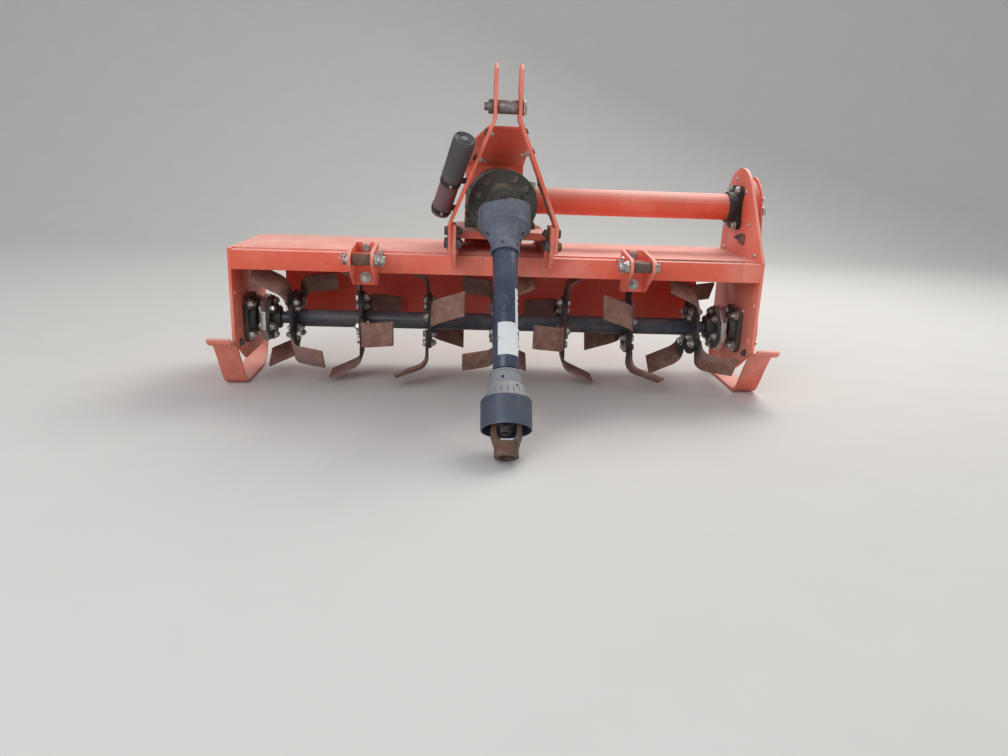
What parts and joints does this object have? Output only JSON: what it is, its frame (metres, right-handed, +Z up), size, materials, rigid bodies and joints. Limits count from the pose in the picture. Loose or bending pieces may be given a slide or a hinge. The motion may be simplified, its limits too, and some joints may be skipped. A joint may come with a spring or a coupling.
{
  "type": "rotary tiller",
  "caption": "Rotary tiller for a compact tractor: hooded rotor of bent tines, hitch mast, gearbox with side chain drive, hinged tailgate and telescopic driveline.",
  "frame": {"origin": "on the floor under the middle of the whole machine's box", "axes": "+X to the chain case side (right, seen from the tractor), +Y to the rear, +Z up"},
  "size_m": [1.508, 0.8732, 0.846],
  "materials": {
    "orange_paint": "faded gloss paint, worn and muddy",
    "black_paint": "semi-gloss paint, dusty",
    "gearbox_iron": "dark olive paint on rough casting",
    "dark_steel": "oily dark steel",
    "zinc_steel": "dull zinc plate",
    "rusty_steel": "surface rust",
    "tine_steel": "rusty forged steel",
    "guard_tube": "scuffed black plastic",
    "guard_plastic": "weathered grey-black plastic",
    "canister_plastic": "faded purplish black plastic",
    "cap_plastic": "faded black plastic"
  },
  "bodies": {
    "root": {"front_bar": "orange_paint", "hood": "orange_paint", "side_plate_left": "orange_paint", "side_plate_right": "orange_paint", "chain_case": "orange_paint", "chain_cover": "orange_paint", "skid_left": "orange_paint", "skid_right": "orange_paint", "mast_left": "orange_paint", "mast_right": "orange_paint", "mast_lugs": "orange_paint", "clevis_left": "orange_paint", "clevis_right": "orange_paint", "gearbox_mount": "orange_paint", "rear_panel": "orange_paint", "cross_tube": "orange_paint", "gearbox_housing": "gearbox_iron", "gearbox_cover": "gearbox_iron", "tube_ear": "black_paint", "bearing_left": "black_paint", "bearing_right": "black_paint", "top_pin": "zinc_steel", "lower_pins": "zinc_steel", "top_bushing": "dark_steel", "lower_bushings": "rusty_steel", "hinge_rod": "dark_steel", "manual_canister": "canister_plastic", "canister_cap": "cap_plastic", "canister_brackets": "black_paint", "input_yoke": "dark_steel"},
    "rotor": {"rotor_shaft": "black_paint", "rotor_flange_left": "zinc_steel", "rotor_flange_right": "zinc_steel", "tine_set_1": "tine_steel", "tine_set_2": "tine_steel", "tine_set_3": "tine_steel", "tine_set_4": "tine_steel", "tine_set_5": "tine_steel", "tine_set_6": "tine_steel", "tine_set_7": "tine_steel"},
    "tailgate": {"tailgate": "orange_paint"},
    "upper_cross": {"upper_cross": "dark_steel"},
    "driveline": {"upper_yoke": "dark_steel", "outer_tube": "guard_tube", "upper_bell": "guard_plastic"},
    "driveline_end": {"inner_tube": "guard_tube", "lower_bell": "guard_plastic", "lower_yoke": "dark_steel"},
    "lower_cross": {"lower_cross": "dark_steel"},
    "tractor_yoke": {"tractor_yoke": "rusty_steel"}
  },
  "joints": [
    {"name": "rotor_spin", "type": "hinge", "parent": "root", "child": "rotor", "pos_m": [0, 0.21061, 0.18], "axis": [1, 0, 0], "continuous": true},
    {"name": "tailgate_swing", "type": "hinge", "parent": "root", "child": "tailgate", "pos_m": [0, 0.42661, 0.374], "axis": [1, 0, 0], "range_deg": [-4, 75]},
    {"name": "driveline_pitch", "type": "hinge", "parent": "root", "child": "upper_cross", "pos_m": [0, -0.02439, 0.517], "axis": [-1, 0, 0], "range_deg": [0, 52]},
    {"name": "driveline_sway", "type": "hinge", "parent": "upper_cross", "child": "driveline", "pos_m": [0, -0.02439, 0.517], "axis": [0, -0.788, 0.6157], "range_deg": [-25, 25]},
    {"name": "driveline_slide", "type": "slide", "parent": "driveline", "child": "driveline_end", "axis": [0, -0.6157, -0.788], "range_m": [0, 0.2]},
    {"name": "yoke_sway", "type": "hinge", "parent": "driveline_end", "child": "lower_cross", "pos_m": [0, -0.36855, 0.0765], "axis": [0, -0.788, 0.6157], "range_deg": [-25, 25]},
    {"name": "yoke_pitch", "type": "hinge", "parent": "lower_cross", "child": "tractor_yoke", "pos_m": [0, -0.36855, 0.0765], "axis": [-1, 0, 0], "range_deg": [-25, 25]}
  ]
}
